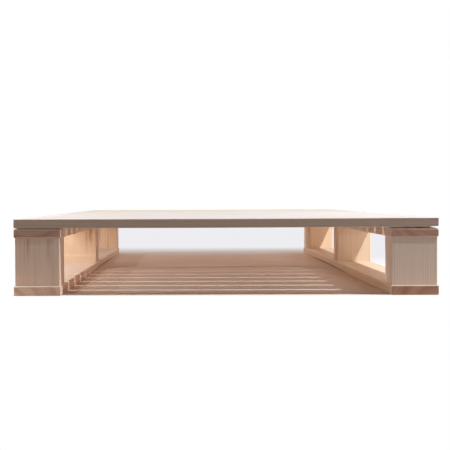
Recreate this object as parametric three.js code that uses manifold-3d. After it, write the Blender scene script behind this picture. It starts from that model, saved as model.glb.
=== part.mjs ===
// Pallet bed: a deck of slats on two side runners. Each runner is a top board, three upright blocks
// and a bottom board that lies on the floor, and screws from above and below hold the blocks.
// Millimetres. +X runs right along the slats, +Y runs to the rear along the runners, +Z is up.
// The origin is on the floor under the centre of the deck.
import * as THREE from "three";
import { mergeVertices } from "three/addons/utils/BufferGeometryUtils.js";
import Module from "manifold-3d";

const wasm = await Module();
wasm.setup();

// Overall size of the deck
const bedWidth = 980;
const bedDepth = 980;

// Deck slats
const slatCount = 17;
const slatWidth = 48;
const slatThickness = 21;

// Runner boards, the same stock above and below the blocks
const runnerWidth = 110;
const runnerThickness = 23;

// Blocks
const blockWidth = 105;
const blockDepth = 45;
const blockHeight = 111;
const blockSetback = 1.5; // from the runner's end to the block's face

// Edges: planed round along the grain, eased across the sawn ends
const edgeRadius = 3;
const slatEndEase = 1.5;
const runnerEndEase = 2;
const blockEndEase = 0.8;
const cornerSteps = 1; // a quarter round gets two facets for each step

// Block screws, with a countersunk head and a cross recess
const screwLength = 65;
const screwRadius = 2.1;
const headRadius = 4.2;
const headRim = 0.4; // the straight rim above the head's cone
const tipLength = 5;
const headSink = 0.8; // how far the head lies below the board's face
const screwSpread = 52; // between the two screws of a block
const screwSides = 8;
const recessLength = 4.6;
const recessWidth = 1.1;
const recessDepth = 1.8;
const screwClearance = 0.3;
const cutOverrun = 1;

// Levels and places that follow from the sizes above. The heads of the upper screws lie in the top
// board's upper face, and those of the lower screws in the bottom board's underside.
const bottomRunnerMiddle = runnerThickness / 2;
const blockBottom = runnerThickness;
const blockMiddle = blockBottom + blockHeight / 2;
const topRunnerBottom = blockBottom + blockHeight;
const topRunnerMiddle = topRunnerBottom + runnerThickness / 2;
const deckBottom = topRunnerBottom + runnerThickness;
const deckMiddle = deckBottom + slatThickness / 2;
const runnerOffset = (bedWidth - runnerWidth) / 2;
const endBlockOffset = (bedDepth - blockDepth) / 2 - blockSetback;
const slatPitch = (bedDepth - slatWidth) / (slatCount - 1);

const upperScrewFace = deckBottom - headSink;
const lowerScrewFace = headSink;

const sides = [
  { name: "left", x: -runnerOffset, outward: -1 },
  { name: "right", x: runnerOffset, outward: 1 },
];
const stations = [
  { name: "front", y: -endBlockOffset },
  { name: "middle", y: 0 },
  { name: "rear", y: endBlockOffset },
];
const screwRows = [
  { name: "outer", out: screwSpread / 2 },
  { name: "inner", out: -screwSpread / 2 },
];

// Finishes
function wood(colour) {
  return new THREE.MeshStandardMaterial({ color: colour, roughness: 0.72, metalness: 0, flatShading: true });
}

const slatWood = wood(0xe9d6bd);
const runnerWood = wood(0xdcbfa2);
const blockWood = wood(0xe3c6a6);
const screwSteel = new THREE.MeshStandardMaterial({
  color: 0xb9a978,
  roughness: 0.38,
  metalness: 1,
  flatShading: true,
});

// Solids: a closed geometry becomes a solid that can be cut, and goes back to a geometry
function solidOf(geometry) {
  const bare = geometry.clone();
  bare.deleteAttribute("normal");
  bare.deleteAttribute("uv");
  const merged = mergeVertices(bare);
  return new wasm.Manifold(
    new wasm.Mesh({
      numProp: 3,
      vertProperties: merged.attributes.position.array,
      triVerts: new Uint32Array(merged.index.array),
    }),
  );
}

function geometryOf(solid) {
  const mesh = solid.getMesh();
  const geometry = new THREE.BufferGeometry();
  geometry.setAttribute("position", new THREE.BufferAttribute(mesh.vertProperties, mesh.numProp));
  geometry.setIndex(new THREE.BufferAttribute(mesh.triVerts, 1));
  geometry.computeVertexNormals();
  return geometry;
}

function cut(geometry, cutters) {
  const cutSolid = cutters.reduce((body, cutter) => body.subtract(solidOf(cutter)), solidOf(geometry));
  return geometryOf(cutSolid);
}

// A length of timber: a section with rounded corners, drawn along Z and centred on the origin,
// with its sawn ends eased
function timber(sectionX, sectionY, length, endEase) {
  const halfX = sectionX / 2 - edgeRadius;
  const halfY = sectionY / 2 - edgeRadius;
  const section = new THREE.Shape();
  section.absarc(halfX, halfY, edgeRadius, 0, Math.PI / 2, false);
  section.absarc(-halfX, halfY, edgeRadius, Math.PI / 2, Math.PI, false);
  section.absarc(-halfX, -halfY, edgeRadius, Math.PI, (3 * Math.PI) / 2, false);
  section.absarc(halfX, -halfY, edgeRadius, (3 * Math.PI) / 2, 2 * Math.PI, false);
  section.closePath();
  const straight = length - 2 * endEase;
  const body = new THREE.ExtrudeGeometry(section, {
    depth: straight,
    steps: 1,
    curveSegments: cornerSteps,
    bevelEnabled: true,
    bevelSegments: 1,
    bevelThickness: endEase,
    bevelSize: endEase,
    bevelOffset: -endEase,
  });
  return body.translate(0, 0, -straight / 2);
}

// The screw's outline from its tip to its head, turned about Z with the head's face at zero,
// grown by the clearance where it cuts its hole
function screwBody(clearance, overrun) {
  const shank = screwRadius + clearance;
  const head = headRadius + clearance;
  const tip = -screwLength - clearance;
  const coneTop = -headRim;
  const coneBottom = coneTop - (headRadius - screwRadius);
  const outline = [
    new THREE.Vector2(0, tip),
    new THREE.Vector2(shank, tip + tipLength),
    new THREE.Vector2(shank, coneBottom - clearance),
    new THREE.Vector2(head, coneTop - clearance),
    new THREE.Vector2(head, overrun),
    new THREE.Vector2(0, overrun),
  ];
  return new THREE.LatheGeometry(outline, screwSides).rotateX(Math.PI / 2);
}

// The hole that a screw takes in the wood, open past the face that its head sinks into
function screwHole(x, y, z, pointsUp) {
  const hole = screwBody(screwClearance, headSink + cutOverrun);
  if (pointsUp) hole.rotateX(Math.PI);
  return hole.translate(x, y, z);
}

// The cross recess that the driver turns
function crossRecess() {
  const depth = recessDepth + cutOverrun;
  const middle = (cutOverrun - recessDepth) / 2;
  const oneWay = new THREE.BoxGeometry(recessLength, recessWidth, depth).translate(0, 0, middle);
  const otherWay = new THREE.BoxGeometry(recessWidth, recessLength, depth).translate(0, 0, middle);
  return [oneWay, otherWay];
}

function named(name, geometry, material) {
  const mesh = new THREE.Mesh(geometry, material);
  mesh.name = name;
  return mesh;
}

// Sub-parts
function deckSlat(number) {
  const name = "deck_slat_" + String(number + 1).padStart(2, "0");
  const slat = named(name, timber(slatThickness, slatWidth, bedWidth, slatEndEase), slatWood);
  slat.rotation.y = Math.PI / 2;
  slat.position.set(0, (slatWidth - bedDepth) / 2 + number * slatPitch, deckMiddle);
  return slat;
}

// A runner board is turned down on its flat, so that its length runs to the rear
function runnerBoard(name, side, height, screwFace, pointsUp) {
  const board = timber(runnerWidth, runnerThickness, bedDepth, runnerEndEase);
  board.rotateX(-Math.PI / 2);
  const holes = stations.flatMap((station) =>
    screwRows.map((row) => screwHole(side.outward * row.out, station.y, screwFace - height, pointsUp)),
  );
  const runner = named(name + "_" + side.name, cut(board, holes), runnerWood);
  runner.position.set(side.x, 0, height);
  return runner;
}

function block(side, station) {
  const body = timber(blockWidth, blockDepth, blockHeight, blockEndEase);
  const holes = screwRows.flatMap((row) => [
    screwHole(row.out, 0, upperScrewFace - blockMiddle, false),
    screwHole(row.out, 0, lowerScrewFace - blockMiddle, true),
  ]);
  const upright = named("block_" + side.name + "_" + station.name, cut(body, holes), blockWood);
  upright.position.set(side.x, station.y, blockMiddle);
  return upright;
}

function blockScrew(level, side, station, row, height, pointsUp) {
  const name = [level, "screw", side.name, station.name, row.name].join("_");
  const screw = named(name, cut(screwBody(0, 0), crossRecess()), screwSteel);
  if (pointsUp) screw.rotation.x = Math.PI;
  screw.position.set(side.x + side.outward * row.out, station.y, height);
  return screw;
}

const bed = new THREE.Group();

for (let number = 0; number < slatCount; number += 1) {
  bed.add(deckSlat(number));
}
for (const side of sides) {
  bed.add(runnerBoard("top_runner", side, topRunnerMiddle, upperScrewFace, false));
  bed.add(runnerBoard("bottom_runner", side, bottomRunnerMiddle, lowerScrewFace, true));
  for (const station of stations) {
    bed.add(block(side, station));
    for (const row of screwRows) {
      bed.add(blockScrew("upper", side, station, row, upperScrewFace, false));
      bed.add(blockScrew("lower", side, station, row, lowerScrewFace, true));
    }
  }
}

export default bed;
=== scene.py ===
# Pallet bed: a slatted deck on two side runners, in pale unfinished softwood.
# The sections follow the order in which the bed is put together, from the floor up.
import math
import random

import bpy
from mathutils import Matrix, Vector


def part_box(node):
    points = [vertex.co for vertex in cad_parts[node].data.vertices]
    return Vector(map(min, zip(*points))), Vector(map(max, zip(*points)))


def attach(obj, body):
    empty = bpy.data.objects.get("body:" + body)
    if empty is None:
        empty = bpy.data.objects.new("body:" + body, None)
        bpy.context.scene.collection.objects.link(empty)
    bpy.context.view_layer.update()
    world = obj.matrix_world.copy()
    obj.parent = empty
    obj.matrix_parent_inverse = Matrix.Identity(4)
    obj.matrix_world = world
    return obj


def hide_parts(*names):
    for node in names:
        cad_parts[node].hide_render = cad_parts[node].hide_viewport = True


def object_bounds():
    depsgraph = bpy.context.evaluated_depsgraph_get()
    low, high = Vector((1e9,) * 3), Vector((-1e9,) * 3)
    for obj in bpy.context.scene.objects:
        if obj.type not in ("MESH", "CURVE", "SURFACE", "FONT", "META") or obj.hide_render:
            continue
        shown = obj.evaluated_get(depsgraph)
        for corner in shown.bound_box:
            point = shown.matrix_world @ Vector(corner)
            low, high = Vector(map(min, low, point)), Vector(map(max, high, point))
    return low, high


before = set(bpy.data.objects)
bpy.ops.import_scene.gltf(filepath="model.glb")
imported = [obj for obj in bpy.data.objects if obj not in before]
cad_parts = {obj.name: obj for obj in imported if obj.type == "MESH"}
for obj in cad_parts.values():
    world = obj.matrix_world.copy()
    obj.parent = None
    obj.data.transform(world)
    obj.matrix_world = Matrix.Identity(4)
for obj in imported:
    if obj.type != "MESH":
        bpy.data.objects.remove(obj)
cad_low, cad_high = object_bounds()


# Bottom runner boards
# Two planed softwood boards, left and right, lie flat on the floor from front to rear. The sawn ends
# show the growth rings, and every edge is rounded. Their undersides are drilled and countersunk for
# the screws that go up into the blocks.
MM = 0.001
PLANED_CORNER = 3.0 * MM
SIDE_EASE = 1.4 * MM  # at the upright edges of a board's end
RUNNER_END_EASE = 3.4 * MM  # at the top and bottom edges of its end
FACETS = 6  # facets round a quarter of an edge
SUPPORT = 0.8 * MM  # a line of points this far inside each flat keeps its shading flat
LEAST_CORNER = 0.2 * MM  # where a corner's rounding runs out at an eased end
SHARP_ANGLE = math.radians(32)  # past which the shading of an edge stays sharp
SIDES = ("left", "right")
STATIONS = ("front", "middle", "rear")
ROWS = ("outer", "inner")


def colour(red, green, blue):
    """A colour picked as it looks on screen, from 0 to 255, as the linear colour that a shader takes."""
    shares = [value / 255 for value in (red, green, blue)]
    return [s / 12.92 if s <= 0.04045 else ((s + 0.055) / 1.055) ** 2.4 for s in shares] + [1.0]


class Wire:
    """One value in the node tree of a material, a lamp or the world. Arithmetic on wires adds the Math
    nodes it needs."""

    def __init__(self, tree, socket=None):
        self.tree = tree
        self.socket = socket

    def node(self, kind, settings=None, sockets=None, output=0):
        """Adds a node, sets it up, feeds its sockets and gives back one of its outputs."""
        made = self.tree.nodes.new(kind)
        for setting, value in (settings or {}).items():
            setattr(made, setting, value)
        for socket, value in (sockets or {}).items():
            if isinstance(value, Wire):
                self.tree.links.new(value.socket, made.inputs[socket])
            else:
                made.inputs[socket].default_value = value
        return Wire(self.tree, made.outputs[output]) if made.outputs else None

    def math(self, operation, *values):
        return self.node("ShaderNodeMath", {"operation": operation}, dict(enumerate(values)))

    def __add__(self, other):
        return self.math("ADD", self, other)

    def __radd__(self, other):
        return self.math("ADD", other, self)

    def __sub__(self, other):
        return self.math("SUBTRACT", self, other)

    def __rsub__(self, other):
        return self.math("SUBTRACT", other, self)

    def __mul__(self, other):
        return self.math("MULTIPLY", self, other)

    def __rmul__(self, other):
        return self.math("MULTIPLY", other, self)

    def __truediv__(self, other):
        return self.math("DIVIDE", self, other)

    def __pow__(self, other):
        return self.math("POWER", self, other)

    def rise(self, start, end):
        """Goes smoothly from 0 at start to 1 at end."""
        sockets = {"Value": self, "From Min": start, "From Max": end}
        return self.node("ShaderNodeMapRange", {"interpolation_type": "SMOOTHSTEP"}, sockets)

    def mix(self, first, second, share, blend="MIX"):
        """Goes from the first colour to the second with share."""
        settings = {"data_type": "RGBA", "blend_type": blend}
        return self.node("ShaderNodeMix", settings, {"Factor": share, 6: first, 7: second}, 2)

    def split(self):
        """The three numbers of a place or a direction, along X, Y and Z."""
        return [self.node("ShaderNodeSeparateXYZ", None, {0: self}, axis) for axis in range(3)]

    def noise(self, x, y, z, seed, detail=2.0):
        """Cloudy noise from 0 to 1 at a place whose numbers count clouds along each axis."""
        place = self.node("ShaderNodeCombineXYZ", None, {0: x, 1: y, 2: z})
        sockets = {"Vector": place, "W": seed, "Scale": 1.0, "Detail": detail}
        return self.node("ShaderNodeTexNoise", {"noise_dimensions": "4D"}, sockets)


def start_material(name):
    made = bpy.data.materials.new(name)
    made.use_nodes = True
    made.node_tree.nodes.clear()
    return made, Wire(made.node_tree)


def close_material(made, wire, sockets):
    """Puts a Principled shader with these sockets on the surface."""
    shader = wire.node("ShaderNodeBsdfPrincipled", None, sockets)
    wire.node("ShaderNodeOutputMaterial", None, {"Surface": shader})
    return made


SAPWOOD = colour(236, 212, 190)
HEARTWOOD = colour(222, 184, 152)
PALE_WOOD = colour(246, 241, 235)
LATE_WOOD = colour(192, 146, 114)
STREAK_WOOD = colour(176, 118, 82)
END_GRAIN = colour(214, 194, 184)
# sanded pale, and lighter still as a painted highlight on rounded edges
SANDED_EDGE_AND_HIGHLIGHT = colour(244, 224, 204)
BARE = (1.0, 1.0, 1.0, 1.0)
SWAY_WAVES = (3.0, 12.0)  # waves in a metre, along the grain and across it
FIBRE_WAVES = (9.0, 700.0)
STREAK_WAVES = (1.6, 95.0)
PATCH_WAVES = (1.1, 24.0)
SWAY = 5.0 * MM  # how far the rings and the streaks wander
HEART_EDGE = 5.0 * MM  # half the width in which heartwood turns to sapwood
HEART_RAGGEDNESS = 24.0 * MM  # how far that edge wanders
END_FACING = (0.62, 0.94)  # how squarely a face looks along the grain to show as a sawn end
# how squarely a face looks across the board to take the painted shade
SHADED_SIDE_FACING = (0.6, 0.94)
GRAIN_RELIEF = 0.18 * MM


def wood(name, node, grain, pith, ring, seed, figure, lean=(0.0, 0.0), heart=0.0, pale=0.0, tint=BARE,
         end_tint=END_GRAIN, side_shade_tint=None, satin=0.46, streaks=()):
    """Solid softwood, grown round a pith line that lies off the board's middle by pith and drifts along
    the grain by lean. grain is the axis that the fibres follow, and ring the width of a year's growth.
    Within heart of the pith it is browner heartwood. figure is how strongly the rings and streaks show,
    pale how bleached the wood is and satin its roughness. end_tint is for the sawn ends, and
    side_shade_tint is painted shade, darker and warmer, on two of the long faces. A streak is a place
    across the board, half a width, a strength, and where along the grain it has faded and where it is full."""
    low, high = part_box(node)
    made, wire = start_material(name)
    place = wire.node("ShaderNodeTexCoord", output="Object")
    local = wire.node("ShaderNodeVectorMath", {"operation": "SUBTRACT"}, {0: place, 1: (low + high) / 2})
    first_axis, second_axis = [axis for axis in range(3) if axis != grain]
    numbers = local.split()
    along = numbers[grain]
    first = numbers[first_axis]
    second = numbers[second_axis]

    def grained(waves, offset, detail=2.0):
        lengthwise, crosswise = waves
        return wire.noise(along * lengthwise, first * crosswise, second * crosswise, seed + offset, detail)

    across = first - pith[0] + along * lean[0] + (grained(SWAY_WAVES, 0.0) - 0.5) * SWAY
    through = second - pith[1] + along * lean[1] + (grained(SWAY_WAVES, 31.0) - 0.5) * SWAY
    radius = (across * across + through * through) ** 0.5
    rings = radius / ring + wire.noise(radius * 45.0, 0.0, 0.0, seed + 3.0) * 2.5

    # Each ring darkens slowly towards its outer side and ends sharply, some more than others
    phase = wire.math("FRACT", rings)
    late = phase.rise(0.25, 0.9) * (1 - phase.rise(0.93, 1.0))
    depth = wire.noise(rings * 0.45, 0.0, 0.0, seed + 5.0, 0.0)
    late = late * (depth * 1.1 + 0.35)

    # Fine fibres, long streaks and broad patches, all drawn out along the grain
    fibre = grained(FIBRE_WAVES, 11.0, 3.0)
    streak = grained(STREAK_WAVES, 13.0)
    broad = grained(PATCH_WAVES, 17.0, 1.0)

    facings = wire.node("ShaderNodeTexCoord", output="Normal").split()
    end = wire.math("ABSOLUTE", facings[grain]).rise(*END_FACING)

    # The colour. On the sawn ends whole runs of rings are darker, and rounded edges are sanded pale and
    # painted lighter still as a highlight
    ragged_radius = radius + (broad - 0.5) * HEART_RAGGEDNESS
    tone = wire.mix(SAPWOOD, HEARTWOOD, ragged_radius.rise(heart + HEART_EDGE, heart - HEART_EDGE))
    tone = wire.mix(tone, PALE_WOOD, pale)
    tone = wire.mix(tone, LATE_WOOD, late * (end * 0.35 + 0.5 * figure))
    tone = wire.mix(tone, LATE_WOOD, streak.rise(0.48, 0.8) * (0.4 * figure))
    season = wire.noise(rings * 0.22, 0.0, 0.0, seed + 23.0, 1.0)
    tone = wire.mix(tone, LATE_WOOD, season.rise(0.40, 0.66) * end * 0.6)
    wobble = (wire.noise(along * 14.0, 0.0, 0.0, seed + 19.0) - 0.5) * SWAY
    for middle, half_width, strength, faded, full in streaks:
        aside = wire.math("ABSOLUTE", first - middle + wobble)
        stain = aside.rise(half_width, 0.1 * half_width) * along.rise(faded, full)
        tone = wire.mix(tone, STREAK_WOOD, stain * (streak + 0.35) * strength)
    tone = wire.mix(tone, tint, 1.0, "MULTIPLY")
    # Painted shade: two of the long faces are darker and warmer, as where they lie in shade
    if side_shade_tint:
        edge = wire.math("ABSOLUTE", facings[first_axis]).rise(*SHADED_SIDE_FACING)
        tone = wire.mix(tone, side_shade_tint, edge, "MULTIPLY")
    arris = wire.node("ShaderNodeAttribute", {"attribute_name": "arris"}, None, "Fac")
    # Painted highlight: rounded edges are lighter, beyond the sanding, as where they catch the light
    tone = wire.mix(tone, SANDED_EDGE_AND_HIGHLIGHT, arris * (streak * 0.3 + 0.45) * (1 - end * 0.4))
    tone = wire.mix(tone, end_tint, end, "MULTIPLY")
    shade = (fibre - 0.5) * 0.2 + 1.0
    tone = wire.node("ShaderNodeVectorMath", {"operation": "SCALE"}, {0: tone, "Scale": shade})

    height = late * 0.5 + fibre * 0.6 + end * fibre * 0.8
    bump = wire.node("ShaderNodeBump", None, {"Strength": 0.5, "Distance": GRAIN_RELIEF, "Height": height})
    rough = fibre * 0.14 + end * 0.2 + late * 0.05 + satin
    sockets = {"Base Color": tone, "Roughness": rough, "Normal": bump, "Specular IOR Level": 0.4}
    return close_material(made, wire, sockets)


def add_object(name, data):
    made = bpy.data.objects.new(name, data)
    bpy.context.scene.collection.objects.link(made)
    return made


def rounded_section(half_first, half_second, corner):
    """Points round a rounded rectangle, each with how far it lies into a rounded corner."""
    points = []
    for quarter in range(4):
        turn = quarter * math.pi / 2
        middle_first = (half_first - corner) * (1 if quarter in (0, 3) else -1)
        middle_second = (half_second - corner) * (1 if quarter in (0, 1) else -1)
        for step in range(-1, FACETS + 2):
            angle = turn + min(max(step, 0), FACETS) / FACETS * math.pi / 2
            beyond = SUPPORT * (1 if step > FACETS else -1 if step < 0 else 0)
            place_first = middle_first + corner * math.cos(angle) - beyond * math.sin(angle)
            place_second = middle_second + corner * math.sin(angle) + beyond * math.cos(angle)
            into = max(0.0, math.sin(math.pi * step / FACETS))
            points.append((place_first, place_second, into))
    return points


def plank(name, node, grain, ease, steps, trim=(0.0, 0.0), bend=None, corner=PLANED_CORNER,
          side_ease=None):
    """The finely rounded piece of timber that stands for a CAD node: a section swept along the grain,
    its ends eased, by side_ease at the upright edges, and cut back by trim. steps is the number of
    lengths between its ends. bend gives a point's new place in the board's own directions, which are
    along the grain and the two axes across it. The arris attribute is 1 on a rounded edge."""
    low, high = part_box(node)
    centre = (low + high) / 2
    half = (high - low) / 2
    first_axis, second_axis = [axis for axis in range(3) if axis != grain]
    rounding = [(0.0, ease + SUPPORT, 0.0)]
    for step in range(FACETS + 1):
        angle = step / FACETS * math.pi / 2
        share = math.sin(math.pi * step / FACETS)
        rounding.append((ease * (1 - math.cos(angle)), ease * (1 - math.sin(angle)), share))
    rounding.append((ease + SUPPORT, 0.0, None))
    squeeze = 1.0 if side_ease is None else side_ease / ease
    start = trim[0] - half[grain]
    stop = half[grain] - trim[1]
    inner_start = start + ease + SUPPORT
    inner_stop = stop - ease - SUPPORT
    sections = [(start + depth, inset, share) for depth, inset, share in rounding]
    for step in range(1, steps):
        sections.append((inner_start + (inner_stop - inner_start) * step / steps, 0.0, None))
    sections += [(stop - depth, inset, share) for depth, inset, share in reversed(rounding)]

    vertices = []
    arris = []
    for along, inset, share in sections:
        rounded = max(corner - inset, LEAST_CORNER)
        outline = rounded_section(half[first_axis] - inset * squeeze, half[second_axis] - inset, rounded)
        for first, second, into in outline:
            moved = bend(along, first, second) if bend else (along, first, second)
            point = list(centre)
            point[grain] += moved[0]
            point[first_axis] += moved[1]
            point[second_axis] += moved[2]
            vertices.append(point)
            arris.append(into if share is None else share)
    size = len(outline)
    faces = [tuple(range(size - 1, -1, -1))]
    for ring in range(len(sections) - 1):
        for step in range(size):
            corner_a = ring * size + step
            corner_b = ring * size + (step + 1) % size
            faces.append((corner_a, corner_b, corner_b + size, corner_a + size))
    last = (len(sections) - 1) * size
    faces.append(tuple(range(last, last + size)))
    mesh = bpy.data.meshes.new(name)
    mesh.from_pydata(vertices, [], faces)
    if grain == 1:
        mesh.flip_normals()
    mesh.attributes.new("arris", "FLOAT", "POINT").data.foreach_set("value", arris)
    return add_object(name, mesh)


def revolve(profile, sides):
    """Vertices and faces of a profile of (radius, height) points turned about Z, closed on the axis."""
    vertices = [(0.0, 0.0, profile[0][1])]
    for radius, height in profile[1:-1]:
        for side in range(sides):
            turn = 2 * math.pi * side / sides
            vertices.append((radius * math.cos(turn), radius * math.sin(turn), height))
    vertices.append((0.0, 0.0, profile[-1][1]))
    faces = []
    for side in range(sides):
        after = (side + 1) % sides
        faces.append((0, 1 + after, 1 + side))
        for ring in range(len(profile) - 3):
            base = 1 + ring * sides
            faces.append((base + side, base + after, base + after + sides, base + side + sides))
        base = 1 + (len(profile) - 3) * sides
        faces.append((base + side, base + after, len(vertices) - 1))
    return vertices, faces


def cut_away(piece, vertices, faces):
    """Cuts a closed shape out of a piece, for good."""
    mesh = bpy.data.meshes.new("cutter")
    mesh.from_pydata(vertices, [], faces)
    cutter = add_object("cutter", mesh)
    step = piece.modifiers.new("cut", "BOOLEAN")
    step.operation = "DIFFERENCE"
    step.solver = "EXACT"
    step.object = cutter
    graph = bpy.context.evaluated_depsgraph_get()
    cut_mesh = bpy.data.meshes.new_from_object(piece.evaluated_get(graph))
    piece.modifiers.clear()
    piece.data = cut_mesh
    bpy.data.objects.remove(cutter)


SCREW_SIDES = 24
SCREW_RIM = 0.4 * MM  # the straight rim of a screw's head, above its cone
HOLE_CLEARANCE = 0.35 * MM
HOLE_OVERRUN = 3.0 * MM


def hole_profile(head_radius, shank_radius, length, sink):
    """A countersunk hole whose screw's head lies sink below the wood's face, which is at zero."""
    head = head_radius + HOLE_CLEARANCE
    shank = shank_radius + HOLE_CLEARANCE
    cone = -sink - SCREW_RIM
    return [
        (0.0, -sink - length - HOLE_CLEARANCE),
        (shank, -sink - length - HOLE_CLEARANCE),
        (shank, cone - (head - shank)),
        (head, cone),
        (head, HOLE_OVERRUN),
        (0.0, HOLE_OVERRUN),
    ]


def drill(piece, spots, profile, upward=False):
    """Drills a hole down into the piece at each spot, or up into it."""
    vertices = []
    faces = []
    hole_vertices, hole_faces = revolve(profile, SCREW_SIDES)
    flip = -1 if upward else 1
    for spot in spots:
        base = len(vertices)
        vertices += [(spot[0] + x, spot[1] + y * flip, spot[2] + z * flip) for x, y, z in hole_vertices]
        faces += [tuple(base + index for index in face) for face in hole_faces]
    cut_away(piece, vertices, faces)


def give_finish(mesh, material):
    """Smooths the shading between sharp edges and puts the finish on."""
    mesh.shade_smooth()
    mesh.set_sharp_from_angle(angle=SHARP_ANGLE)
    mesh.materials.clear()
    mesh.materials.append(material)


def finish_timber(piece, material, slot, *nodes):
    give_finish(piece.data, material)
    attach(piece, "root")
    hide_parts(*nodes)


def screw_spot(level, side, station, row):
    """The middle of a block screw's head: its axis, at the height of its outer face."""
    low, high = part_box(f"{level}_screw_{side}_{station}_{row}")
    middle = (low + high) / 2
    return Vector((middle.x, middle.y, high.z if level == "upper" else low.z))


BLOCK_SCREW_LENGTH = 65 * MM
BLOCK_SCREW_SHANK = 2.1 * MM
BLOCK_SCREW_HEAD = 4.2 * MM
BLOCK_SCREW_SINK = 0.8 * MM
BLOCK_SCREW_HOLE = hole_profile(BLOCK_SCREW_HEAD, BLOCK_SCREW_SHANK, BLOCK_SCREW_LENGTH, BLOCK_SCREW_SINK)


def block_screw_faces(level, sides=SIDES, stations=STATIONS):
    """Where the block screws enter the wood's face, just outside their heads."""
    out = BLOCK_SCREW_SINK if level == "upper" else -BLOCK_SCREW_SINK
    return [
        screw_spot(level, side, station, row) + Vector((0, 0, out))
        for side in sides for station in stations for row in ROWS
    ]


RUNNER_WIDTH = 110.0 * MM
RUNNER_STEPS = 24  # along a board, so that it can bend
FOOT_GAP = 4.2 * MM  # between the floor and the board's inner margin, at its widest
FOOT_GAP_MIDDLE = 0.08  # where along the board it is widest
FOOT_GAP_REACH = 0.24
FOOT_GAP_DEPTH = 28.0 * MM
AMBER_TINT = colour(255, 246, 232)
# each board's side_shade_tint is painted shade on its side faces
RUNNER_BUILDS = {
    "left": {"pith": (-0.075, -0.050), "ring": 3.6 * MM, "seed": 2.0, "figure": 0.6, "lean": (0.006, 0.004),
             "pale": 0.2, "end_tint": colour(255, 252, 255), "side_shade_tint": colour(255, 231, 217)},
    "right": {"pith": (0.060, -0.048), "ring": 3.9 * MM, "seed": 5.0, "figure": 0.35,
              "lean": (-0.008, 0.003), "pale": 0.2, "tint": AMBER_TINT,
              "end_tint": colour(207, 186, 188), "side_shade_tint": colour(255, 245, 236)},
}


def foot_bend(inward):
    """The underside's inner margin rises off the floor near the middle block, where the board cups."""
    def bend(along, first, second):
        edge = max(0.0, first * inward - (RUNNER_WIDTH / 2 - FOOT_GAP_DEPTH)) / FOOT_GAP_DEPTH
        near = max(0.0, 1 - ((along - FOOT_GAP_MIDDLE) / FOOT_GAP_REACH) ** 2)
        return along, first, second + (FOOT_GAP * edge * near if second < 0 else 0.0)
    return bend


for side in SIDES:
    node = f"bottom_runner_{side}"
    bend = foot_bend(1 if side == "left" else -1)
    board = plank(node + "_board", node, 1, RUNNER_END_EASE, RUNNER_STEPS, bend=bend, side_ease=SIDE_EASE)
    drill(board, block_screw_faces("lower", [side]), BLOCK_SCREW_HOLE, upward=True)
    timber = wood(node + "_softwood", node, 1, **RUNNER_BUILDS[side])
    finish_timber(board, timber, "runner_wood", node)


# Blocks
# Six softwood blocks stand upright between the bottom and top boards, three on each side, with
# their grain on end. Their faces are planed and their upright edges rounded; the sawn ends bear on
# the boards. Screws come in from above and below.
BLOCK_END_EASE = 0.7 * MM
BLOCK_CORNER = 2.0 * MM
BLOCK_STEPS = 8
BLOCK_DEPTH = 45.0 * MM
BLOCK_SET_BACK = 1.4 * MM  # of a front block's face
FRONT_LEFT_STREAKS = [  # place, half a width, strength, and where it has faded and is full
    (-0.0290, 2.2 * MM, 0.40, -0.060, 0.05),
    (-0.0205, 6.5 * MM, 0.45, -0.015, 0.05),
    (0.0060, 3.5 * MM, 0.15, -0.080, 0.05),
    (0.0270, 8.5 * MM, 0.40, -0.030, 0.05),
]
MIDDLE_LEFT_STREAKS = [(0.0350, 9.0 * MM, 0.9, -0.02, 0.05), (0.0230, 5.0 * MM, 0.5, -0.05, 0.03)]
REAR_LEFT_STREAKS = [(-0.0180, 8.0 * MM, 0.6, -0.06, 0.02), (0.0160, 5.0 * MM, 0.5, 0.05, -0.05)]
REAR_RIGHT_STREAKS = [(-0.0430, 9.0 * MM, 0.6, -0.08, 0.03)]
# the middle blocks' side_shade_tint is painted shade on their side faces
BLOCK_BUILDS = {
    "left_front": {"pith": (0.016, 0.062), "ring": 5.5 * MM, "seed": 11.0, "figure": 0.28, "pale": 0.15,
                   "tint": colour(255, 241, 237), "streaks": FRONT_LEFT_STREAKS},
    "left_middle": {"pith": (0.160, 0.020), "ring": 3.6 * MM, "seed": 14.0, "figure": 0.35, "pale": 0.15,
                    "tint": AMBER_TINT, "side_shade_tint": colour(255, 247, 236),
                    "streaks": MIDDLE_LEFT_STREAKS},
    "left_rear": {"pith": (-0.060, 0.050), "ring": 4.2 * MM, "seed": 17.0, "figure": 0.5,
                  "tint": AMBER_TINT, "streaks": REAR_LEFT_STREAKS},
    "right_front": {"pith": (0.210, 0.030), "ring": 5.4 * MM, "seed": 20.0, "figure": 0.4, "pale": 0.75,
                    "tint": colour(255, 236, 226)},
    "right_middle": {"pith": (-0.190, 0.020), "ring": 4.6 * MM, "seed": 23.0, "figure": 0.5, "pale": 0.2,
                     "tint": colour(255, 249, 238), "side_shade_tint": colour(255, 229, 212)},
    "right_rear": {"pith": (0.120, -0.040), "ring": 4.4 * MM, "seed": 26.0, "figure": 0.5,
                   "tint": AMBER_TINT, "streaks": REAR_RIGHT_STREAKS},
}


def set_back(along, first, second):
    """A front block's face lies a little further back than the boards' ends."""
    return along, first, second + BLOCK_SET_BACK * max(0.0, -second) / (0.5 * BLOCK_DEPTH)


for side in SIDES:
    for station in STATIONS:
        place = f"{side}_{station}"
        node = "block_" + place
        bend = set_back if station == "front" else None
        block = plank(node + "_upright", node, 2, BLOCK_END_EASE, BLOCK_STEPS, bend=bend,
                      corner=BLOCK_CORNER)
        drill(block, block_screw_faces("upper", [side], [station]), BLOCK_SCREW_HOLE)
        drill(block, block_screw_faces("lower", [side], [station]), BLOCK_SCREW_HOLE, upward=True)
        timber = wood(node + "_softwood", node, 2, **BLOCK_BUILDS[place])
        finish_timber(block, timber, "block_wood", node)


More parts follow.
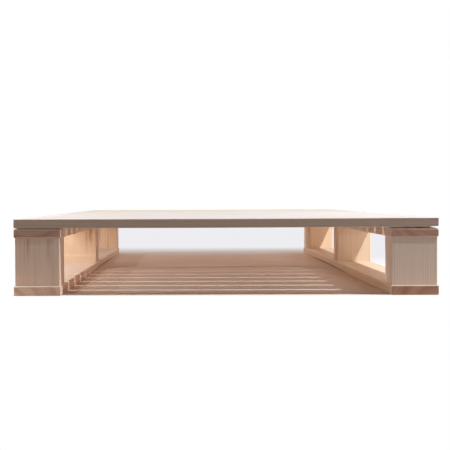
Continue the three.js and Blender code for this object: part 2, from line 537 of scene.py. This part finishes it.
# Top runner boards
# Two boards of the same stock as the bottom ones lie on the blocks and carry the slats' ends. The
# heads of the screws that go down into the blocks lie in their upper faces, under the slats.
TOP_RUNNER_END_EASE = 3.6 * MM
TOP_RUNNER_SET_BACK = 0.9 * MM  # of its front end, behind the front slat's face
TOP_RUNNER_LENGTH = cad_high.y - cad_low.y
DIPS = {"left": 1.8 * MM, "right": 2.5 * MM}  # of its top face at the front end
DIP_REACH = 16.0 * MM
CUPS = {"left": 0.0, "right": 1.6 * MM}  # of its outer edge, near the front end
CUP_REACH = 160.0 * MM
CUP_START = 0.25  # as a share of the way from the middle of the board to its edge
TOP_RUNNER_BUILDS = {
    "left": {"pith": (-0.020, 0.090), "ring": 3.6 * MM, "seed": 31.0, "figure": 0.6,
             "lean": (0.004, -0.004), "heart": 0.2, "end_tint": colour(234, 226, 239)},
    "right": {"pith": (0.050, 0.080), "ring": 3.2 * MM, "seed": 34.0, "figure": 0.6,
              "lean": (0.006, 0.002), "heart": 0.2, "pale": 0.3, "end_tint": colour(235, 208, 208)},
}


def top_runner_bend(side):
    """The top face dips at the front end, which leaves a dark groove under the front slat. The right
    board's outer edge drops as well, which leaves a wedge of light."""
    outward = 1 if side == "right" else -1

    def bend(along, first, second):
        from_front = along + TOP_RUNNER_LENGTH / 2
        dip = DIPS[side] * min(max(1 - from_front / DIP_REACH, 0.0), 1.0) ** 0.5
        aside = max(0.0, outward * first / (RUNNER_WIDTH / 2) - CUP_START) / (1 - CUP_START)
        cup = CUPS[side] * min(max(1 - from_front / CUP_REACH, 0.0), 1.0) * aside ** 2
        return along, first, second - (dip + cup if second > 0 else 0.0)
    return bend


for side in SIDES:
    node = f"top_runner_{side}"
    bend = top_runner_bend(side)
    board = plank(node + "_board", node, 1, TOP_RUNNER_END_EASE, RUNNER_STEPS, (TOP_RUNNER_SET_BACK, 0.0),
                  bend, side_ease=SIDE_EASE)
    drill(board, block_screw_faces("upper", [side]), BLOCK_SCREW_HOLE)
    timber = wood(node + "_softwood", node, 1, **TOP_RUNNER_BUILDS[side])
    finish_timber(board, timber, "runner_wood", node)


# Block screws
# Countersunk steel wood screws with a cross recess, yellow-passivated. Two go down through the top
# board and two go up through the bottom board into each block, and their heads lie just below the
# wood's face.
SCREW_TIP = 5.0 * MM
SCREW_NECK = 1.5 * MM  # below the head's cone, down to the core
RECESS_SHARES = (0.55, 0.24, 0.42)  # the cross's reach, width and depth, as shares of the head's radius
ZINC_YELLOW = colour(222, 196, 128)
ZINC_PALE = colour(214, 208, 188)
FILM_WAVES = 0.6  # in a millimetre
SCUFF_WAVES = 4.0


def screw_steel(name):
    """Yellow-passivated zinc: a thin, uneven film on bright steel, scuffed by the driver."""
    made, wire = start_material(name)
    place = wire.node("ShaderNodeTexCoord", output="Object")
    x, y, z = [number * 1000.0 for number in place.split()]  # in millimetres
    film = wire.noise(x * FILM_WAVES, y * FILM_WAVES, z * FILM_WAVES, seed=1.0)
    scuff = wire.noise(x * SCUFF_WAVES, y * SCUFF_WAVES, z * SCUFF_WAVES, seed=2.0, detail=4.0)
    tone = wire.mix(ZINC_PALE, ZINC_YELLOW, film.rise(0.3, 0.65))
    bump = wire.node("ShaderNodeBump", None, {"Strength": 0.3, "Distance": 0.05 * MM, "Height": scuff})
    sockets = {"Base Color": tone, "Metallic": 1.0, "Roughness": scuff * 0.25 + 0.24, "Normal": bump}
    return close_material(made, wire, sockets)


def recess_cutter(reach, width, depth, turned):
    """One tapered arm of the cross that the driver turns, or the other one, turned by a quarter."""
    vertices = []
    for length_share, height, width_share in ((0.45, -depth, 0.8), (1.08, 0.15 * depth, 1.05)):
        for x, y in ((-1, -1), (1, -1), (1, 1), (-1, 1)):
            long = x * reach * length_share
            short = y * width / 2 * width_share
            vertices.append((short, -long, height) if turned else (long, short, height))
    faces = [(0, 3, 2, 1), (4, 5, 6, 7), (0, 1, 5, 4), (1, 2, 6, 5), (2, 3, 7, 6), (3, 0, 4, 7)]
    return vertices, faces


def screw_mesh(name, length, shank, head, material):
    """A countersunk screw pointing down, its head's face at zero. Below the neck its core is thinner."""
    neck = -SCREW_RIM - (head - shank)
    profile = [
        (0.0, -length),
        (0.35 * shank, -length + 0.35 * SCREW_TIP),
        (0.8 * shank, -length + SCREW_TIP),
        (0.8 * shank, neck - SCREW_NECK),
        (shank, neck),
        (0.96 * head, -SCREW_RIM),
        (head, -0.6 * SCREW_RIM),
        (0.985 * head, -0.15 * SCREW_RIM),
        (0.95 * head, 0.0),
        (0.0, 0.0),
    ]
    vertices, faces = revolve(profile, SCREW_SIDES)
    mesh = bpy.data.meshes.new(name)
    mesh.from_pydata(vertices, [], faces)
    blank = add_object(name, mesh)
    reach, width, depth = [share * head for share in RECESS_SHARES]
    for turned in (False, True):
        cut_away(blank, *recess_cutter(reach, width, depth, turned))
    made = blank.data
    give_finish(made, material)
    bpy.data.objects.remove(blank)
    return made


def place_screw(name, mesh, spot, upward, turn):
    made = add_object(name, mesh)
    flip = Matrix.Rotation(math.pi, 4, "X") if upward else Matrix.Identity(4)
    made.matrix_world = Matrix.Translation(spot) @ flip @ Matrix.Rotation(turn, 4, "Z")
    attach(made, "root")
    return made


driver = random.Random(7)
zinc = screw_steel("screw_zinc")
block_screw = screw_mesh("block_screw", BLOCK_SCREW_LENGTH, BLOCK_SCREW_SHANK, BLOCK_SCREW_HEAD, zinc)
for level in ("upper", "lower"):
    for side in SIDES:
        for station in STATIONS:
            for row in ROWS:
                node = f"{level}_screw_{side}_{station}_{row}"
                spot = screw_spot(level, side, station, row)
                turn = driver.uniform(0, math.pi)
                screw = place_screw(node + "_steel", block_screw, spot, level == "lower", turn)
                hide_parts(node)


# Deck slats
# Seventeen planed softwood slats lie side by side across the runners, from front to rear. Each is cut from
# its own board, so grain and tone change from slat to slat, and painted shade makes the rear slats warmer
# and the slats' front and rear faces darker. Two countersunk screws at each end go down into the top
# boards. The front slat's face leans forward a little.
SLAT_END_EASE = 1.6 * MM
SLAT_STEPS = 28
SLAT_COUNT = 17
SLAT_SCREW_LENGTH = 38 * MM
SLAT_SCREW_SHANK = 1.9 * MM
SLAT_SCREW_HEAD = 3.8 * MM
SLAT_SCREW_SINK = 0.4 * MM
SLAT_SCREW_SPREAD = 24 * MM
SLAT_SCREW_HOLE = hole_profile(SLAT_SCREW_HEAD, SLAT_SCREW_SHANK, SLAT_SCREW_LENGTH, SLAT_SCREW_SINK)
SLAT_WIDTH = 48 * MM
SLAT_THICKNESS = 21 * MM
SLAT_LENGTH = cad_high.x - cad_low.x
SLAT_CORNERS = {  # of the slats that are rounded more or less than the others, by number
    1: 1.5 * MM, 2: 4.6 * MM, 3: 6.2 * MM, 4: 6.2 * MM, 5: 6.2 * MM, 6: 6.0 * MM, 7: 3.8 * MM,
}
SAGS = (0.1 * MM, 0.6 * MM)
CROOK = 0.3 * MM  # at most, to either side
END_TRIM = 0.5 * MM  # at most, at each end
FRONT_LEAN = 0.05  # of the front slat's face, as a slope
HOLLOW = 1.3 * MM  # under the front slat's right end
HOLLOW_REACH = 100 * MM
PITH_ASIDE = 60 * MM  # from the slat's middle, at most, to either side
PITH_DEPTHS = (40 * MM, 110 * MM)  # below or above it
PITH_DRIFTS = (0.010, 0.012)  # along the grain, sideways and upwards, as slopes
RING_WIDTHS = (3.0 * MM, 5.0 * MM)
HEART_RADII = (20 * MM, 70 * MM)
SLAT_SEED = 50.0
# the slats' side_shade_tint is painted shade on their front and rear faces
SLAT_BUILD = {"figure": 0.6, "pale": 0.75, "side_shade_tint": colour(217, 197, 183), "satin": 0.26}
# The slats' tint, shifting to the rear one past the ninth slat: painted shade, as the rear of the deck top
# lies in less light
DECK_TINT = colour(251, 247, 250)
REAR_SLAT_SHADE_TINT = colour(255, 235, 209)
LAST_UNSHADED_SLAT = 9  # from the next one on, the slats get warmer towards the rear


def slat_screw_spots(node):
    """The four places where a slat is screwed down, over the middle of each runner board."""
    low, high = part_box(node)
    middle = (low.y + high.y) / 2
    spots = {}
    for side in SIDES:
        runner_low, runner_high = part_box(f"top_runner_{side}")
        x = (runner_low.x + runner_high.x) / 2
        spots[side + "_front"] = Vector((x, middle - SLAT_SCREW_SPREAD / 2, high.z))
        spots[side + "_rear"] = Vector((x, middle + SLAT_SCREW_SPREAD / 2, high.z))
    return spots


def slat_bend(sag, crook, span, is_front):
    """The slat sags between the runners and bows a little sideways. The front one's face is planed
    to lean forward, and its right end is hollow underneath."""
    def bend(along, first, second):
        hang = max(0.0, 1 - (along / span) ** 2)
        moved = first + crook * (1 - (2 * along / SLAT_LENGTH) ** 2)
        dropped = second - sag * hang
        if is_front:
            moved += FRONT_LEAN * (SLAT_THICKNESS / 2 - second) * max(0.0, -first / (SLAT_WIDTH / 2))
            if second < 0:
                dropped += HOLLOW * max(0.0, 1 - (SLAT_LENGTH / 2 - along) / HOLLOW_REACH) ** 2
        return along, moved, dropped
    return bend


sawyer = random.Random(41)
slat_screw = screw_mesh("slat_screw", SLAT_SCREW_LENGTH, SLAT_SCREW_SHANK, SLAT_SCREW_HEAD, zinc)
inner_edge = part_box("top_runner_right")[0].x
for number in range(1, SLAT_COUNT + 1):
    node = f"deck_slat_{number:02d}"
    pith = (sawyer.uniform(-PITH_ASIDE, PITH_ASIDE), sawyer.choice((-1, 1)) * sawyer.uniform(*PITH_DEPTHS))
    lean = [sawyer.uniform(-drift, drift) for drift in PITH_DRIFTS]
    sag = sawyer.uniform(*SAGS)
    crook = sawyer.uniform(-CROOK, CROOK)
    trim = (sawyer.uniform(0, END_TRIM), sawyer.uniform(0, END_TRIM))
    if number in (1, SLAT_COUNT):
        crook = 0.0
    bend = slat_bend(sag, crook, inner_edge, number == 1)
    corner = SLAT_CORNERS.get(number, PLANED_CORNER)
    slat = plank(node + "_slat", node, 0, SLAT_END_EASE, SLAT_STEPS, trim, bend, corner)
    screw_spots = slat_screw_spots(node)
    drill(slat, screw_spots.values(), SLAT_SCREW_HOLE)
    ring = sawyer.uniform(*RING_WIDTHS)
    heart = sawyer.uniform(*HEART_RADII)
    # Painted shade: past the ninth slat, each slat is tinted warmer towards the rear
    rear_shade = max(0.0, (number - LAST_UNSHADED_SLAT) / (SLAT_COUNT - LAST_UNSHADED_SLAT))
    tint = [pale + (warm - pale) * rear_shade for pale, warm in zip(DECK_TINT, REAR_SLAT_SHADE_TINT)]
    timber = wood(node + "_softwood", node, 0, pith, ring, seed=SLAT_SEED + number, lean=lean, heart=heart,
                  tint=tint, **SLAT_BUILD)
    finish_timber(slat, timber, "slat_wood", node)
    for place, spot in screw_spots.items():
        under = spot - Vector((0, 0, SLAT_SCREW_SINK))
        turn = driver.uniform(0, math.pi)
        place_screw(f"slat_screw_{number:02d}_{place}", slat_screw, under, False, turn)


# Floor and backdrop
# A plain pale studio floor of warm white paper. Under and close round the bed it takes the shade; further
# out, what the camera sees turns to the backdrop's white, with a painted shadow of the bed making it a
# little greyer behind the bed.
FLOOR_REACH = 30.0
FLOOR_PAPER = (0.80, 0.63, 0.52, 1.0)
FRONT_PAPER = (0.42, 0.39, 0.37, 1.0)
BACKDROP_WHITE = (1.0, 1.0, 1.0, 1.0)
# the bed's soft shadow, painted on the backdrop behind it
BACKDROP_SHADE = (0.85, 0.85, 0.885, 1.0)
FRONT_PAPER_BLEND = 0.10
SIDE_BLEND = 0.012  # beside the bed, where the paper turns to the backdrop's white
FRONT_BLEND = 0.014
REAR_BLEND = 0.50
REAR_BLEND_START = 0.13  # in front of the bed's rear edge
SHADE_DEPTHS = (0.0, 0.4, 2.0, 3.5)  # where the shade behind the bed rises and falls again
SHADE_LEFT = (0.345, -0.65, -0.45)  # a sight line's slope, and where the shade starts and is full
SHADE_RIGHT = (-0.454, 0.70, 0.54)
WORLD_FILL = 0.13  # how much light the surroundings give


def direct_view(wire):
    """1 where a surface is seen directly, in a mirror or through glass, and 0 for its bounced light."""
    seen = wire.node("ShaderNodeLightPath", output="Is Camera Ray")
    shiny = wire.node("ShaderNodeLightPath", output="Is Glossy Ray")
    clear = wire.node("ShaderNodeLightPath", output="Is Transmission Ray")
    return wire.math("MAXIMUM", wire.math("MAXIMUM", seen, shiny), clear)


def stage_floor():
    mesh = bpy.data.meshes.new("studio_floor")
    corners = [(-FLOOR_REACH, -FLOOR_REACH, 0), (FLOOR_REACH, -FLOOR_REACH, 0),
               (FLOOR_REACH, FLOOR_REACH, 0), (-FLOOR_REACH, FLOOR_REACH, 0)]
    mesh.from_pydata(corners, [], [(0, 1, 2, 3)])
    made = add_object("studio_floor", mesh)
    material, wire = start_material("studio_floor_paper")
    place = wire.node("ShaderNodeTexCoord", output="Object")
    x, y = place.split()[:2]
    aside = wire.math("ABSOLUTE", x)
    beside = wire.math("MAXIMUM", aside - cad_high.x, 0.0) / SIDE_BLEND
    before = wire.math("MAXIMUM", cad_low.y + FRONT_BLEND - y, 0.0) / FRONT_BLEND
    behind = wire.math("MAXIMUM", y - (cad_high.y - REAR_BLEND_START), 0.0) / REAR_BLEND
    outside = (beside * beside + before * before + behind * behind) ** 0.5
    rise_start, rise_end, fall_start, fall_end = SHADE_DEPTHS
    shaded = y.rise(rise_start, rise_end) * (1 - y.rise(fall_start, fall_end))
    for slope, start, full in (SHADE_LEFT, SHADE_RIGHT):
        shaded = shaded * (x + y * slope).rise(start, full)
    sheet = wire.mix(FLOOR_PAPER, FRONT_PAPER, y.rise(cad_low.y, cad_low.y - FRONT_PAPER_BLEND))
    paper = wire.node("ShaderNodeBsdfDiffuse", None, {"Color": sheet})
    # Painted shadow: the backdrop's white turns greyer behind the bed
    backdrop = wire.mix(BACKDROP_WHITE, BACKDROP_SHADE, shaded)
    white = wire.node("ShaderNodeEmission", None, {"Color": backdrop, "Strength": 1.0})
    share = outside.rise(0.0, 1.0) * direct_view(wire)
    surface = wire.node("ShaderNodeMixShader", None, {0: share, 1: paper, 2: white})
    wire.node("ShaderNodeOutputMaterial", None, {"Surface": surface})
    mesh.materials.append(material)


def studio_world():
    world = bpy.data.worlds.new("studio_world")
    world.use_nodes = True
    world.node_tree.nodes.clear()
    bpy.context.scene.world = world
    wire = Wire(world.node_tree)
    strength = direct_view(wire) * (1.0 - WORLD_FILL) + WORLD_FILL
    sky = wire.node("ShaderNodeBackground", None, {"Color": BACKDROP_WHITE, "Strength": strength})
    wire.node("ShaderNodeOutputWorld", None, {"Surface": sky})


stage_floor()
studio_world()


# Lamps
# A small bare lamp high on the right, just in front of the bed's front face, throws the bands of
# light through the gaps, and a far one on the left draws fainter lines inside the right boards.
# Softboxes stand low round the bed and fill in.
KEY_PLACE = (0.95, -0.59, 1.10)
KEY_COLOUR = (0.86, 0.95, 1.0)
KEY_REACH = 1.45  # from the key lamp to the middle of the deck
FADING_SHARE = 0.6  # of the key lamp's light, the part that fades with distance
FAR_PLACE = (-6.0, -0.35, 1.10)
SOFTBOXES = {  # each one's place, what it faces, its width, its height and its watts
    "left_softbox": ((-1.0, -0.36, 0.36), (0.0, -0.2, 0.05), 0.4, 0.6, 6.0),
    "right_softbox": ((1.15, -0.25, 0.30), (0.0, -0.1, 0.05), 0.4, 0.5, 3.2),
    "rear_softbox": ((0.0, 1.6, 0.40), (0.0, 0.3, 0.05), 1.2, 0.3, 11.5),
}


def place_lamp(name, kind, spot, watts):
    data = bpy.data.lights.new(name, kind)
    data.energy = watts
    made = add_object(name, data)
    made.location = spot
    made.visible_camera = False
    made.visible_glossy = False
    return made


def bare_lamp(name, spot, watts, radius):
    made = place_lamp(name, "POINT", spot, watts)
    made.data.shadow_soft_size = radius
    return made


def even_out(lamp, reach):
    """Makes a lamp fade less with distance, by a mix of linear and constant falloff. At reach the mix is
    as bright as the linear one alone."""
    lamp.data.use_nodes = True
    lamp.data.node_tree.nodes.clear()
    wire = Wire(lamp.data.node_tree)
    steady = (1 - FADING_SHARE) / reach
    fading = wire.node("ShaderNodeLightFalloff", None, {"Strength": FADING_SHARE}, "Linear")
    level = wire.node("ShaderNodeLightFalloff", None, {"Strength": steady}, "Constant")
    shine = wire.node("ShaderNodeEmission", None, {"Strength": fading + level})
    wire.node("ShaderNodeOutputLight", None, {"Surface": shine})


def softbox(name, spot, target, width, height, watts):
    made = place_lamp(name, "AREA", spot, watts)
    made.data.shape = "RECTANGLE"
    made.data.size = width
    made.data.size_y = height
    made.rotation_euler = (Vector(target) - Vector(spot)).to_track_quat("-Z", "Y").to_euler()


key_lamp = bare_lamp("key_lamp", KEY_PLACE, watts=53.0, radius=0.011)
key_lamp.data.color = KEY_COLOUR
even_out(key_lamp, KEY_REACH)
bare_lamp("left_far_lamp", FAR_PLACE, watts=600.0, radius=0.03)
for name, build in SOFTBOXES.items():
    softbox(name, *build)


# Camera
# A level view from the front, a little left of the middle and just above the deck.
PHOTO_SIDE = 450  # pixels along the photograph's side
FOCAL_PIXELS = 536.96
AXIS_PIXEL = (187.07, 204.44)  # where the lens axis meets the picture
CAMERA_PLACE = (-0.07264, cad_low.y - 1.23535, 0.22377)
TURN_LEFT = 0.0118  # in radians, as are the next two
LOOK_DOWN = 0.01059
ROLL = -0.00476
SENSOR = 36.0  # millimetres

view = bpy.data.cameras.new("front_view")
view.sensor_width = SENSOR
view.lens = FOCAL_PIXELS / PHOTO_SIDE * SENSOR
view.shift_x = 0.5 - AXIS_PIXEL[0] / PHOTO_SIDE
view.shift_y = AXIS_PIXEL[1] / PHOTO_SIDE - 0.5
view.clip_start = 0.05
view.clip_end = 100.0
camera = add_object("front_view", view)
heading = Matrix.Rotation(TURN_LEFT, 4, "Z") @ Matrix.Rotation(math.pi / 2 - LOOK_DOWN, 4, "X")
camera.matrix_world = Matrix.Translation(CAMERA_PLACE) @ heading @ Matrix.Rotation(ROLL, 4, "Z")
bpy.context.scene.camera = camera
bpy.context.scene.view_settings.view_transform = "Standard"
